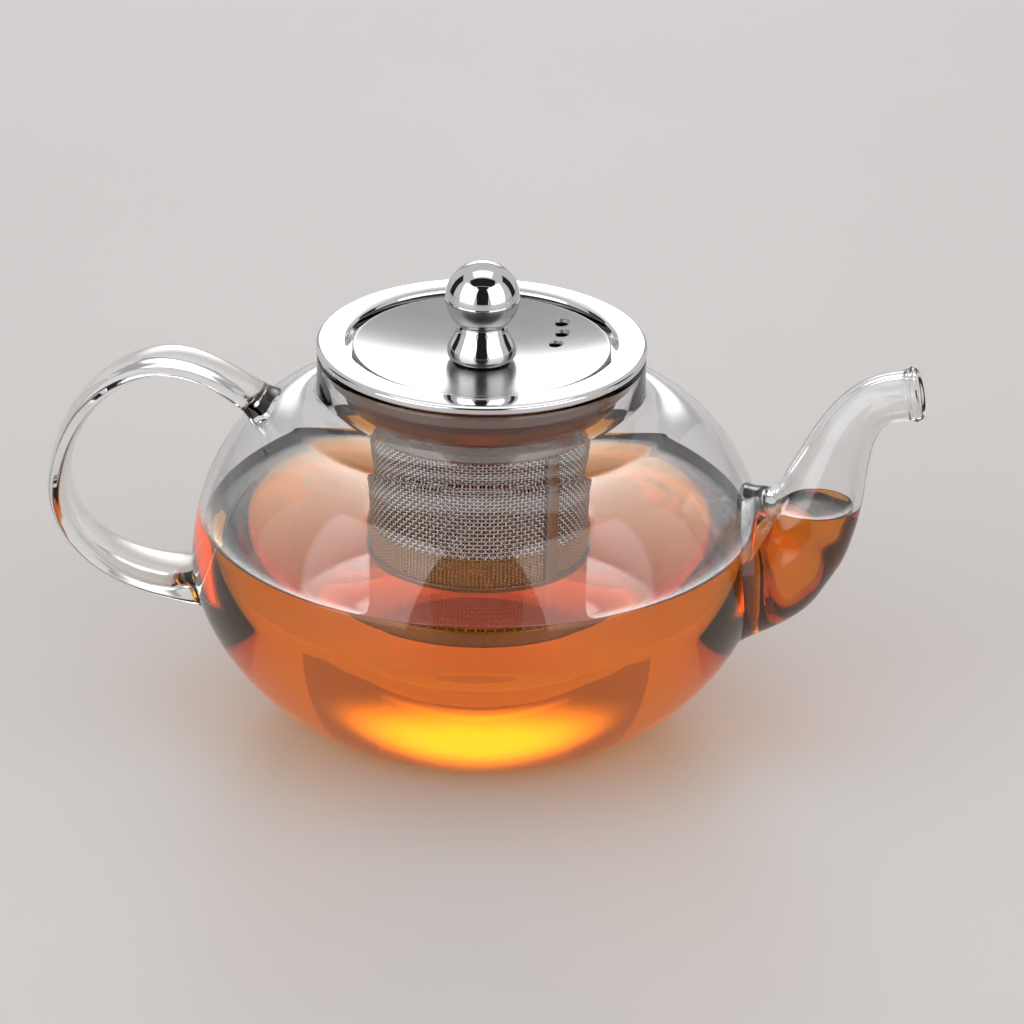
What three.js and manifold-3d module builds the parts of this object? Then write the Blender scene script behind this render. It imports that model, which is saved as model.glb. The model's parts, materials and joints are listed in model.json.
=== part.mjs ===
// Glass teapot with a stainless steel infuser and a ball-knob lid.
// Millimetres, +Z up. Origin: centre of the flat base. +X: towards the spout. -X: the handle.
// Three things lift off each other: the glass pot, the infuser that hangs in its neck, and the lid.

import * as THREE from 'three';
import * as BufferGeometryUtils from 'three/addons/utils/BufferGeometryUtils.js';
import Module from 'manifold-3d';

// ---------------------------------------------------------------- driving dimensions
const SEG = 40;                 // facets round each turned piece

// glass bowl
const BOWL_R = 70;              // largest outer radius
const BOWL_EQ_Z = 39.6;         // height of the largest radius
const BASE_R = 37;              // flat that the pot stands on
const GLASS = 2.1;              // wall of the bowl
const BASE_T = 3.0;             // thickness of the base
const NECK_R = 40.0;            // outer radius of the straight neck
const NECK_BORE_R = 38.2;       // inside of the neck
const MOUTH_Z = 94.0;           // fire-polished mouth

// spout: centreline in the XZ plane with outer radius at each point
const SPOUT = [
  [58.0, 41.8, 19.2], [64.0, 43.6, 18.8], [70.4, 46.2, 17.4], [75.0, 49.4, 15.5], [78.8, 52.8, 13.2],
  [81.4, 56.8, 11.5], [83.2, 61.0, 10.5], [84.6, 65.4, 9.8], [86.1, 70.2, 8.8], [87.6, 74.8, 7.95],
  [89.5, 79.3, 7.15], [92.0, 83.5, 6.5], [95.2, 86.8, 6.15], [98.8, 88.7, 6.1], [102.4, 89.6, 6.1],
  [104.2, 90.0, 6.3], [105.8, 90.3, 6.75],
];
const SPOUT_WALL = 1.7;

// handle: centreline in the XZ plane, radial thickness, width across Y
const HANDLE = [
  [-52.4, 75.4, 5.4, 19.0], [-54.6, 77.0, 5.4, 17.4], [-57.4, 79.1, 5.3, 15.8], [-61.4, 81.7, 5.2, 14.8], [-66.4, 84.3, 5.1, 14.4],
  [-71.8, 86.0, 5.1, 14.4], [-77.2, 86.4, 5.1, 14.6], [-82.6, 85.3, 5.1, 14.6], [-87.6, 82.9, 5.1, 14.4],
  [-92.2, 79.5, 5.0, 14.2], [-96.1, 75.3, 5.0, 14.0], [-99.3, 70.3, 5.0, 14.0], [-101.7, 64.7, 5.0, 14.2],
  [-103.2, 58.7, 5.1, 14.4], [-103.7, 52.7, 5.2, 14.8], [-102.7, 47.0, 5.3, 15.2], [-100.1, 41.8, 5.4, 16.0],
  [-96.3, 37.5, 5.5, 17.0], [-91.5, 34.0, 5.6, 18.0], [-86.0, 31.4, 5.7, 19.2], [-80.0, 29.7, 6.0, 20.4],
  [-74.4, 29.0, 6.8, 21.6], [-70.6, 28.9, 8.2, 22.4], [-67.0, 28.9, 9.2, 23.0],
];

// infuser
const FLANGE_R = 40.2;          // rolled outer edge
const FLANGE_TOP_Z = 96.6;
const RECESS_R = 32.9;          // sunk seat for the lid
const SEAT_Z = 93.9;            // top of the ledge that carries the lid
const SEAT_BORE_R = 30.0;
const COLLAR_R = 37.5;          // upper step of the collar, inside the neck
const COLLAR_LOW_R = 34.0;      // lower edge of the collar
const COLLAR_LOW_Z = 83.2;
const BAND_R = 27.2;
const BAND_LOW_Z = 75.6;
const MESH_R = 26.6;
const MESH_T = 0.8;             // woven wire, two wires thick
const BASKET_Z = 31.0;          // underside of the basket

// lid
const LID_R = 31.4;
const LID_EDGE_Z = 95.6;        // top of the hemmed edge
const LID_DISH_Z = 92.0;        // centre of the dish
const LID_T = 0.8;
const VENT_R = 1.5;
const VENTS = [[17.1, 19.4], [17.8, 14.2], [16.9, 8.9]];
const BALL_R = 9.1;
const BALL_Z = 108.4;
const SCREW_R = 2.0;

const GAP = 0.3;                // clearance between pieces that touch

// ---------------------------------------------------------------- helpers
const wasm = await Module();
wasm.setup();

// closed profile [r, z] turned about Z, counter-clockwise in the (r, z) half plane
function turned(profile, seg = SEG) {
  const pts = profile.map(([r, z]) => new THREE.Vector2(r, z));
  const onAxis = profile[0][0] < 1e-9 && profile[profile.length - 1][0] < 1e-9;
  if (!onAxis) pts.push(pts[0].clone());
  const geo = new THREE.LatheGeometry(pts, seg);
  geo.rotateX(Math.PI / 2);     // lathe axis Y becomes Z
  return geo;
}

function solid(geometry) {
  let geo = geometry.clone();
  geo.deleteAttribute('normal');
  geo.deleteAttribute('uv');
  geo = BufferGeometryUtils.mergeVertices(geo, 1e-4);
  const index = Array.from(geo.index.array);
  const tri = [];
  for (let i = 0; i < index.length; i += 3) {
    const [a, b, c] = [index[i], index[i + 1], index[i + 2]];
    if (a !== b && b !== c && c !== a) tri.push(a, b, c);
  }
  // point the faces outwards
  const p = geo.attributes.position.array;
  let v = 0;
  for (let i = 0; i < tri.length; i += 3) {
    const a = tri[i] * 3, b = tri[i + 1] * 3, c = tri[i + 2] * 3;
    v += p[a] * (p[b + 1] * p[c + 2] - p[b + 2] * p[c + 1])
       + p[a + 1] * (p[b + 2] * p[c] - p[b] * p[c + 2])
       + p[a + 2] * (p[b] * p[c + 1] - p[b + 1] * p[c]);
  }
  if (v < 0) for (let i = 0; i < tri.length; i += 3) [tri[i + 1], tri[i + 2]] = [tri[i + 2], tri[i + 1]];
  return new wasm.Manifold(new wasm.Mesh({
    numProp: 3,
    vertProperties: Float32Array.from(p),
    triVerts: Uint32Array.from(tri),
  }));
}

function geometryOf(manifold) {
  const m = manifold.getMesh();
  const geo = new THREE.BufferGeometry();
  const pos = new Float32Array(m.numVert * 3);
  for (let i = 0; i < m.numVert; i++) {
    for (let k = 0; k < 3; k++) pos[i * 3 + k] = m.vertProperties[i * m.numProp + k];
  }
  geo.setAttribute('position', new THREE.BufferAttribute(pos, 3));
  geo.setIndex(Array.from(m.triVerts));
  geo.computeVertexNormals();
  return geo;
}

// point on a cubic Bezier segment
function bezier(p0, p1, p2, p3, t) {
  const a = new THREE.CubicBezierCurve(new THREE.Vector2(...p0), new THREE.Vector2(...p1),
    new THREE.Vector2(...p2), new THREE.Vector2(...p3)).getPoint(t);
  return [a.x, a.y];
}

// loft of a section along stations in the XZ plane; section(i) gives [across the path, along Y] pairs
function loft(stations, section) {
  const n = section(0).length;
  const pos = [], idx = [];
  stations.forEach(([x, z], i) => {
    const a = stations[Math.max(0, i - 1)], b = stations[Math.min(stations.length - 1, i + 1)];
    const d = new THREE.Vector2(b[0] - a[0], b[1] - a[1]).normalize();
    const nx = -d.y, nz = d.x;              // in-plane normal
    for (const [u, y] of section(i)) pos.push(x + nx * u, y, z + nz * u);
  });
  const first = pos.length / 3;
  const s0 = stations[0], s1 = stations[stations.length - 1];
  pos.push(s0[0], 0, s0[1], s1[0], 0, s1[1]);
  for (let i = 0; i + 1 < stations.length; i++) {
    for (let j = 0; j < n; j++) {
      const k = (j + 1) % n;
      const a = i * n + j, b = i * n + k, c = (i + 1) * n + k, d = (i + 1) * n + j;
      idx.push(a, b, c, a, c, d);
    }
  }
  const last = (stations.length - 1) * n;
  for (let j = 0; j < n; j++) {
    const k = (j + 1) % n;
    idx.push(first, k, j, first + 1, last + j, last + k);
  }
  const geo = new THREE.BufferGeometry();
  geo.setAttribute('position', new THREE.Float32BufferAttribute(pos, 3));
  geo.setIndex(idx);
  geo.computeVertexNormals();
  return geo;
}

// smooth stations through the given ones, by a Catmull-Rom curve through each pair of columns
function smooth(rows, count) {
  const xz = new THREE.CatmullRomCurve3(rows.map((r) => new THREE.Vector3(r[0], r[1], r[2])), false, 'centripetal');
  const w = rows[0].length > 3
    ? new THREE.CatmullRomCurve3(rows.map((r) => new THREE.Vector3(r[0], r[1], r[3])), false, 'centripetal') : null;
  const out = [];
  for (let i = 0; i < count; i++) {
    const t = i / (count - 1);
    const p = xz.getPoint(t);
    out.push(w ? [p.x, p.y, p.z, w.getPoint(t).z] : [p.x, p.y, p.z]);
  }
  return out;
}

const circle = (r, n) => Array.from({ length: n }, (_, j) => {
  const a = (2 * Math.PI * j) / n;
  return [r * Math.cos(a), r * Math.sin(a)];
});

// flat strap with fully rounded edges: thickness t across the path, width w along Y
const strap = (t, w, n = 14) => Array.from({ length: n }, (_, j) => {
  const a = (2 * Math.PI * (j + 0.5)) / n;
  const r = t / 2, c = w / 2 - r;
  return [r * Math.cos(a), Math.sign(Math.sin(a)) * c + r * Math.sin(a)];
});

// ---------------------------------------------------------------- glass pot
// outer profile from the edge of the base to the neck
const outer = [];
for (let i = 0; i <= 7; i++) {
  outer.push(bezier([BASE_R, 0], [BASE_R + 10.8, 0], [BOWL_R, BOWL_EQ_Z - 17.9], [BOWL_R, BOWL_EQ_Z], i / 7));
}
for (let i = 1; i <= 7; i++) {
  outer.push(bezier([BOWL_R, BOWL_EQ_Z], [BOWL_R, BOWL_EQ_Z + 19.4], [59.0, 76.6], [46.6, 78.7], i / 7));
}
outer.push([44.0, 79.4], [42.0, 80.7], [40.7, 82.8], [NECK_R, 85.6], [NECK_R, MOUTH_Z - 1.0], [NECK_R - 0.35, MOUTH_Z - 0.25]);

// inner profile: the outer one moved in by the wall
const inner = [];
for (let i = 0; i < outer.length - 2; i++) {
  const a = outer[Math.max(0, i - 1)], b = outer[i + 1];
  const d = new THREE.Vector2(b[0] - a[0], b[1] - a[1]).normalize();
  const q = [outer[i][0] - d.y * GLASS, outer[i][1] + d.x * GLASS];
  if (q[1] >= BASE_T && q[0] > NECK_BORE_R) inner.push(q);
}
const bowlProfile = [[0, 0], ...outer, [NECK_R - 0.9, MOUTH_Z], [NECK_BORE_R + 0.35, MOUTH_Z - 0.25], [NECK_BORE_R, MOUTH_Z - 1.0],
  [NECK_BORE_R, 84.6], [39.0, 81.4], ...inner.filter((q) => q[0] > 40 && q[1] < 79.4).reverse(), [BASE_R - 1, BASE_T], [0, BASE_T]];

const spoutStations = smooth(SPOUT, 19);
const spoutOuter = solid(loft(spoutStations, (i) => circle(spoutStations[i][2], 20)));
const boreStations = [[46, 39.6, 17.0], ...spoutStations.map(([x, z, r]) => [x, z, r - SPOUT_WALL])];
const tip = spoutStations[spoutStations.length - 1], tipBack = spoutStations[spoutStations.length - 2];
boreStations.push([2 * tip[0] - tipBack[0], 2 * tip[1] - tipBack[1], tip[2] - SPOUT_WALL + 0.35]);
const spoutBore = solid(loft(boreStations, (i) => circle(boreStations[i][2], 20)));

// solid block of the bowl's outside, grown by the gap, which trims what is fused to it
const grown = outer.map(([r, z], i) => {
  const a = outer[Math.max(0, i - 1)], b = outer[Math.min(outer.length - 1, i + 1)];
  const d = new THREE.Vector2(b[0] - a[0], b[1] - a[1]).normalize();
  return [r + d.y * GAP, z - d.x * GAP];
});
const bowlBlock = solid(turned([[0, -1], ...grown, [0, MOUTH_Z + 0.3]]));

const bowlGeo = geometryOf(solid(turned(bowlProfile)).subtract(spoutBore));
const spoutGeo = geometryOf(spoutOuter.subtract(spoutBore).subtract(bowlBlock));

const handleStations = smooth(HANDLE, 30);
const handleGeo = geometryOf(
  solid(loft(handleStations, (i) => strap(handleStations[i][2], handleStations[i][3]))).subtract(bowlBlock));

// ---------------------------------------------------------------- infuser
// flange: rolled edge, flat mirror ring, wall of the recess, ledge that carries the lid
const flangeGeo = turned([
  [FLANGE_R - 1.3, 94.5], [FLANGE_R - 0.4, 94.5], [FLANGE_R, 95.0], [FLANGE_R, 95.8], [FLANGE_R - 0.6, FLANGE_TOP_Z],
  [RECESS_R + 0.5, FLANGE_TOP_Z], [RECESS_R, FLANGE_TOP_Z - 0.5], [RECESS_R, SEAT_Z + 0.2],
  [RECESS_R - 0.2, SEAT_Z], [SEAT_BORE_R, SEAT_Z], [SEAT_BORE_R, SEAT_Z - 0.8], [RECESS_R + 0.7, SEAT_Z - 0.8],
  [RECESS_R + 0.8, 95.5], [FLANGE_R - 1.3, 95.5],
]);

// collar: upper step, bead, tapering lower step, floor that turns in to the band
const collarGeo = turned([
  [BAND_R - 0.2, COLLAR_LOW_Z], [COLLAR_LOW_R - 0.6, COLLAR_LOW_Z], [COLLAR_LOW_R, COLLAR_LOW_Z + 0.7],
  [35.6, 88.4], [36.0, 89.0], [37.1, 89.5], [COLLAR_R, 90.3], [COLLAR_R, 95.2],
  [COLLAR_R - 0.8, 95.2], [COLLAR_R - 0.8, 90.6], [36.5, 90.2], [35.3, 89.7], [34.9, 88.8],
  [COLLAR_LOW_R - 0.8, COLLAR_LOW_Z + 1.0], [COLLAR_LOW_R - 1.1, COLLAR_LOW_Z + 0.8], [BAND_R - 0.2, COLLAR_LOW_Z + 0.8],
]);

// band: plain ring, a little wider at the top
const bandGeo = turned([
  [MESH_R - 0.7, BAND_LOW_Z], [BAND_R - 0.2, BAND_LOW_Z], [BAND_R, BAND_LOW_Z + 0.5], [BAND_R + 0.1, COLLAR_LOW_Z - GAP],
  [MESH_R - 0.7, COLLAR_LOW_Z - GAP],
]);

const meshWallGeo = turned([
  [MESH_R - MESH_T, BASKET_Z + 1.3], [MESH_R, BASKET_Z + 1.3], [MESH_R, BAND_LOW_Z - GAP], [MESH_R - MESH_T, BAND_LOW_Z - GAP],
]);
const meshFloorGeo = turned([[0, BASKET_Z + 0.1], [MESH_R - 1.2, BASKET_Z + 0.1], [MESH_R - 1.2, BASKET_Z + 0.9], [0, BASKET_Z + 0.9]]);
// crimped ring: an angle section round the corner of the basket
const bottomRingGeo = turned([
  [MESH_R - 0.9, BASKET_Z], [MESH_R + 0.5, BASKET_Z], [MESH_R + 0.9, BASKET_Z + 0.4], [MESH_R + 0.9, BASKET_Z + 3.4],
  [MESH_R + 0.3, BASKET_Z + 3.4], [MESH_R + 0.3, BASKET_Z + 1.0], [MESH_R - 0.9, BASKET_Z + 1.0],
]);

// seam strip: thin curved strip against the outside of the mesh
const SEAM_AZ = (-42 * Math.PI) / 180;
const seamHalf = 1.75 / MESH_R;
const strip = new THREE.Shape();
const arc = (r, a0, a1) => Array.from({ length: 5 }, (_, i) => {
  const a = a0 + ((a1 - a0) * i) / 4;
  return new THREE.Vector2(r * Math.cos(a), r * Math.sin(a));
});
strip.setFromPoints([...arc(MESH_R + 0.3, SEAM_AZ + seamHalf, SEAM_AZ - seamHalf), ...arc(MESH_R + 0.75, SEAM_AZ - seamHalf, SEAM_AZ + seamHalf)]);
const seamGeo = new THREE.ExtrudeGeometry(strip, { depth: BAND_LOW_Z - GAP - (BASKET_Z + 3.7), bevelEnabled: false });
seamGeo.translate(0, 0, BASKET_Z + 3.7);

// ---------------------------------------------------------------- lid
const dish = (r) => LID_DISH_Z + (LID_EDGE_Z - 0.2 - LID_DISH_Z) * (r / (LID_R - 1.6)) ** 2;
const dishR = [6, 13, 19, 24.6, LID_R - 1.6];
const discProfile = [
  [0, LID_DISH_Z - LID_T], ...dishR.map((r) => [r, dish(r) - LID_T]),
  [LID_R - 1.3, SEAT_Z + GAP], [LID_R - 0.3, SEAT_Z + GAP], [LID_R, SEAT_Z + GAP + 0.3], [LID_R, LID_EDGE_Z - 0.4], [LID_R - 0.4, LID_EDGE_Z],
  ...dishR.slice().reverse().map((r) => [r, dish(r)]), [0, LID_DISH_Z],
];
const drill = (r, x, y, z0, z1, n = 12) => {
  const g = new THREE.CylinderGeometry(r, r, z1 - z0, n);
  g.rotateX(Math.PI / 2);
  g.translate(x, y, (z0 + z1) / 2);
  return solid(g);
};
let disc = solid(turned(discProfile)).subtract(drill(SCREW_R + GAP, 0, 0, 85, 100));
for (const [x, y] of VENTS) disc = disc.subtract(drill(VENT_R, x, y, 85, 100));
const discGeo = geometryOf(disc);

// foot: waisted, its top cupped to the ball, its underside rounding in to the dish
const cup = (r) => BALL_Z - Math.sqrt((BALL_R + GAP) ** 2 - r * r);
const BORE = SCREW_R + GAP;
const footGeo = turned([
  [BORE, LID_DISH_Z + GAP], [6.6, LID_DISH_Z + GAP + 0.15], [7.6, 92.9], [8.25, 93.9], [8.35, 94.8], [8.15, 96.0],
  [7.55, 97.6], [6.85, 99.0], [6.25, 100.2], [6.0, cup(6.0)], [4.2, cup(4.2)], [BORE, cup(BORE)],
], 32);

// ball with the blind hole for the screw
const ballProfile = [];
const a0 = Math.asin((SCREW_R + GAP) / BALL_R);
for (let i = 0; i <= 14; i++) {
  const a = a0 + ((Math.PI - a0) * i) / 14;
  ballProfile.push([i === 14 ? 0 : BALL_R * Math.sin(a), BALL_Z - BALL_R * Math.cos(a)]);
}
const ballGeo = turned([[0, 106.3], [BORE, 106.3], ...ballProfile], 32);

const washerGeo = turned([[BORE, 90.2], [4.6, 90.2], [4.6, 90.9], [BORE, 90.9]], 24);
const screwGeo = turned([
  [0, 87.6], [3.2, 87.6], [3.7, 88.1], [3.7, 89.5], [3.3, 89.9], [SCREW_R, 89.9], [SCREW_R, 105.2], [SCREW_R - 0.5, 105.8], [0, 105.8],
], 24);

// ---------------------------------------------------------------- scene graph
const glass = (opacity) => new THREE.MeshStandardMaterial({
  color: 0xe9eef0, roughness: 0.04, metalness: 0.0, transparent: true, opacity, side: THREE.FrontSide,
});
const polished = () => new THREE.MeshStandardMaterial({ color: 0xd9d9dc, roughness: 0.07, metalness: 1.0 });
const satin = () => new THREE.MeshStandardMaterial({ color: 0xc9c8cb, roughness: 0.28, metalness: 1.0 });
const wire = () => new THREE.MeshStandardMaterial({ color: 0x8f8a88, roughness: 0.35, metalness: 1.0 });

function piece(name, geometry, material) {
  const mesh = new THREE.Mesh(geometry, material);
  mesh.name = name;
  return mesh;
}

const pot = new THREE.Group();
pot.add(piece('glass_bowl', bowlGeo, glass(0.35)), piece('glass_spout', spoutGeo, glass(0.35)),
  piece('glass_handle', handleGeo, glass(0.45)));

const infuser = new THREE.Group();
infuser.add(piece('infuser_flange', flangeGeo, polished()), piece('infuser_collar', collarGeo, polished()),
  piece('infuser_band', bandGeo, satin()), piece('infuser_mesh_wall', meshWallGeo, wire()),
  piece('infuser_mesh_floor', meshFloorGeo, wire()), piece('infuser_bottom_ring', bottomRingGeo, satin()),
  piece('infuser_seam_strip', seamGeo, satin()));

const lid = new THREE.Group();
lid.add(piece('lid_disc', discGeo, polished()), piece('knob_foot', footGeo, polished()),
  piece('knob_ball', ballGeo, polished()), piece('knob_washer', washerGeo, satin()),
  piece('knob_screw', screwGeo, satin()));

const group = new THREE.Group();
group.add(pot, infuser, lid);

export default group;
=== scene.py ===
# Looks for the glass teapot with its stainless infuser and ball-knob lid.
# Lengths in the tables are millimetres in the row frame; everything placed in Blender is in metres.
import json
import math

import bmesh
import bpy
import numpy as np
from mathutils import Matrix, Quaternion, Vector

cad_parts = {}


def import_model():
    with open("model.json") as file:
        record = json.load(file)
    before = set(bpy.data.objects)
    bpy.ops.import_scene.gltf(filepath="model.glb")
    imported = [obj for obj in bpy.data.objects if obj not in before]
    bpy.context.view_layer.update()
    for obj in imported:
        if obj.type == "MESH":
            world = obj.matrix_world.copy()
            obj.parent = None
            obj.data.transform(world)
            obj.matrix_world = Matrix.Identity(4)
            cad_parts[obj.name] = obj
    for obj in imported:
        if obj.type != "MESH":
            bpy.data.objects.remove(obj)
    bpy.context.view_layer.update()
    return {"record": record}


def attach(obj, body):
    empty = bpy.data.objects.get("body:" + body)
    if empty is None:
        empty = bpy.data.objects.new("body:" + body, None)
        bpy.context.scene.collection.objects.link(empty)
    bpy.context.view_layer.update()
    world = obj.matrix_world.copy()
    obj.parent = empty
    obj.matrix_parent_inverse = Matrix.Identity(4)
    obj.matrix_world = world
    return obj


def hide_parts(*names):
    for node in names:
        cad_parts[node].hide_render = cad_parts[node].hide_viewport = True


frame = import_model()
MM = 0.001
SLOTS = [m["slot"] for m in frame["record"]["materials"]]
coll = bpy.context.scene.collection

# ------------------------------------------------------------------ camera
AZ, EL, DIST = math.radians(7.0), math.radians(24.3), 2.4
target = Vector((0, 0, 0.045))
back = Vector((math.sin(AZ) * math.cos(EL), -math.cos(AZ) * math.cos(EL), math.sin(EL)))
cam_data = bpy.data.cameras.new("camera")
cam_data.lens = 9816 / 1024 * 36
cam_data.sensor_width = 36
cam_data.shift_x = (512 - 478.6) / 1024
cam_data.shift_y = (535.9 - 512) / 1024
cam_data.clip_start, cam_data.clip_end = 0.1, 20
cam = bpy.data.objects.new("camera", cam_data)
coll.objects.link(cam)
cam.location = target + back * DIST
cam.rotation_mode = "QUATERNION"
cam.rotation_quaternion = (-back).to_track_quat("-Z", "Y") @ Quaternion((0, 0, 1), math.radians(0.95))
bpy.context.scene.camera = cam
bpy.context.scene.view_settings.view_transform = "Standard"


# ------------------------------------------------------------------ curves and profiles
def bez(p0, p1, p2, p3, n, first=True):
    t = np.linspace(0, 1, n + 1)[:, None]
    p0, p1, p2, p3 = (np.array(p, float) for p in (p0, p1, p2, p3))
    q = (1 - t) ** 3 * p0 + 3 * (1 - t) ** 2 * t * p1 + 3 * (1 - t) * t * t * p2 + t ** 3 * p3
    return [tuple(v) for v in (q if first else q[1:])]


def spline(rows, n):
    """Smooth rows of numbers through the given ones, by centripetal Catmull-Rom on the first two columns."""
    R = np.array(rows, float)
    R = np.vstack([2 * R[0] - R[1], R, 2 * R[-1] - R[-2]])
    k = np.concatenate([[0], np.cumsum(np.sqrt(np.hypot(*np.diff(R[:, :2], axis=0).T)))])
    out = []
    fine = []
    for i in range(1, len(R) - 2):
        for u in np.linspace(0, 1, 24, endpoint=False):
            fine.append(k[i] + u * (k[i + 1] - k[i]))
    fine.append(k[-2])
    for t in fine:
        i = min(max(1, int(np.searchsorted(k, t, side="right")) - 1), len(R) - 3)
        t0, t1, t2, t3 = k[i - 1 : i + 3]
        p0, p1, p2, p3 = R[i - 1 : i + 3]
        a1 = (t1 - t) / (t1 - t0) * p0 + (t - t0) / (t1 - t0) * p1
        a2 = (t2 - t) / (t2 - t1) * p1 + (t - t1) / (t2 - t1) * p2
        a3 = (t3 - t) / (t3 - t2) * p2 + (t - t2) / (t3 - t2) * p3
        b1 = (t2 - t) / (t2 - t0) * a1 + (t - t0) / (t2 - t0) * a2
        b2 = (t3 - t) / (t3 - t1) * a2 + (t - t1) / (t3 - t1) * a3
        out.append((t2 - t) / (t2 - t1) * b1 + (t - t1) / (t2 - t1) * b2)
    P = np.array(out)
    # even spacing along the path
    s = np.concatenate([[0], np.cumsum(np.hypot(*np.diff(P[:, :2], axis=0).T))])
    e = np.linspace(0, s[-1], n)
    return np.stack([np.interp(e, s, P[:, c]) for c in range(P.shape[1])], -1)


def rounded(points, closed=True, steps=6):
    """Corners (r, z, radius) softened into arcs."""
    n = len(points)
    out = []
    for i, p in enumerate(points):
        r = p[2] if len(p) > 2 else 0
        c = np.array(p[:2], float)
        if r <= 0 or (not closed and i in (0, n - 1)):
            out.append(tuple(c))
            continue
        a = np.array(points[i - 1][:2], float)
        b = np.array(points[(i + 1) % n][:2], float)
        ua, ub = (a - c), (b - c)
        la, lb = np.linalg.norm(ua), np.linalg.norm(ub)
        ua, ub = ua / la, ub / lb
        cosang = float(np.clip(ua @ ub, -1, 1))
        half = math.acos(cosang) / 2
        d = min(r / max(math.tan(half), 1e-3), 0.48 * la, 0.48 * lb)
        s, e = c + ua * d, c + ub * d
        for t in np.linspace(0, 1, steps + 1):
            # rational quadratic that is a true arc
            w = math.sin(half)
            den = (1 - t) ** 2 + 2 * w * t * (1 - t) + t * t
            q = ((1 - t) ** 2 * s + 2 * w * t * (1 - t) * c + t * t * e) / den
            out.append(tuple(q))
    return out


def offset(curve, d):
    """curve moved to its left by d (profiles run upwards on the outside, so left is inwards)."""
    C = np.array(curve, float)
    T = np.gradient(C, axis=0)
    T /= np.linalg.norm(T, axis=1)[:, None]
    return C + np.stack([-T[:, 1], T[:, 0]], -1) * d


# ------------------------------------------------------------------ mesh building
def obj(name, verts, faces, smooth=True, sharp=None, fix=True):
    me = bpy.data.meshes.new(name)
    V = np.asarray(verts, float) * MM
    me.from_pydata(V.tolist(), [], faces)
    me.update()
    o = bpy.data.objects.new(name, me)
    coll.objects.link(o)
    if fix:
        bm = bmesh.new()
        bm.from_mesh(me)
        bmesh.ops.remove_doubles(bm, verts=bm.verts, dist=1e-8)
        bmesh.ops.recalc_face_normals(bm, faces=bm.faces)
        bm.to_mesh(me)
        bm.free()
    finish_shading(o, smooth, sharp)
    return o


def finish_shading(o, smooth=True, sharp=None):
    me = o.data
    me.polygons.foreach_set("use_smooth", [smooth] * len(me.polygons))
    if sharp is not None:
        me.set_sharp_from_angle(angle=math.radians(sharp))
    me.update()


def lathe(name, prof, seg=192, sharp=35, turn=0.0):
    prof = [tuple(map(float, p[:2])) for p in prof]
    clean = [prof[0]]
    for p in prof[1:]:
        if math.hypot(p[0] - clean[-1][0], p[1] - clean[-1][1]) > 1e-4:
            clean.append(p)
    prof = clean
    pole0, pole1 = prof[0][0] < 1e-6, prof[-1][0] < 1e-6
    ring = prof[(1 if pole0 else 0) : (len(prof) - 1 if pole1 else len(prof))]
    a = np.linspace(0, 2 * math.pi, seg, endpoint=False) + turn
    ca, sa = np.cos(a), np.sin(a)
    verts = [(r * c, r * s, z) for r, z in ring for c, s in zip(ca, sa)]
    faces = []
    m = len(ring)
    loops = [(i, i + 1) for i in range(m - 1)]
    if not (pole0 or pole1):
        loops.append((m - 1, 0))
    for i, j in loops:
        for k in range(seg):
            l = (k + 1) % seg
            faces.append((i * seg + k, i * seg + l, j * seg + l, j * seg + k))
    if pole0:
        verts.append((0, 0, prof[0][1]))
        c = len(verts) - 1
        faces += [(c, (k + 1) % seg, k) for k in range(seg)]
    if pole1:
        verts.append((0, 0, prof[-1][1]))
        c = len(verts) - 1
        b = (m - 1) * seg
        faces += [(c, b + k, b + (k + 1) % seg) for k in range(seg)]
    return obj(name, verts, faces, True, sharp)


def loft(name, rows, section, sharp=40, dome=(0, 0)):
    """Closed skin over sections set square to a path in the XZ plane. section(row) gives (across, along Y) pairs."""
    R = np.asarray(rows, float)
    T = np.gradient(R[:, :2], axis=0)
    T /= np.linalg.norm(T, axis=1)[:, None]
    verts, n = [], None
    for (x, z), (tx, tz), row in zip(R[:, :2], T, R):
        s = section(row)
        n = len(s)
        for u, y in s:
            verts.append((x - tz * u, y, z + tx * u))
    faces = []
    m = len(R)
    for i in range(m - 1):
        for j in range(n):
            k = (j + 1) % n
            faces.append((i * n + j, i * n + k, (i + 1) * n + k, (i + 1) * n + j))
    verts.append((R[0, 0] - T[0, 0] * dome[0], 0, R[0, 1] - T[0, 1] * dome[0]))
    verts.append((R[-1, 0] + T[-1, 0] * dome[1], 0, R[-1, 1] + T[-1, 1] * dome[1]))
    for j in range(n):
        k = (j + 1) % n
        faces.append((m * n, k, j))
        faces.append((m * n + 1, (m - 1) * n + j, (m - 1) * n + k))
    return obj(name, verts, faces, True, sharp)


def circle(r, n=72):
    a = np.linspace(0, 2 * math.pi, n, endpoint=False)
    return list(zip(r * np.cos(a), r * np.sin(a)))


def strap(t, w, n=56):
    """Flattened section with full round edges, softened so that its broad faces crown a little."""
    a = np.linspace(0, 2 * math.pi, n, endpoint=False) + math.pi / n
    e = 0.62
    c, s = np.cos(a), np.sin(a)
    return list(zip(t / 2 * np.sign(c) * np.abs(c) ** e, w / 2 * np.sign(s) * np.abs(s) ** 0.92))


def boolean(a, b, op, keep_b=False):
    m = a.modifiers.new("b", "BOOLEAN")
    m.operation = op
    m.object = b
    m.solver = "MANIFOLD"
    m.material_mode = "TRANSFER"
    dg = bpy.context.evaluated_depsgraph_get()
    me = bpy.data.meshes.new_from_object(a.evaluated_get(dg), preserve_all_data_layers=True, depsgraph=dg)
    a.modifiers.clear()
    old = a.data
    a.data = me
    bpy.data.meshes.remove(old)
    if not keep_b:
        bpy.data.objects.remove(b)
    return a


def copy_of(o, name):
    c = bpy.data.objects.new(name, o.data.copy())
    coll.objects.link(c)
    return c


def marked(o, mat):
    o.data.materials.clear()
    o.data.materials.append(mat)
    return o


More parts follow.
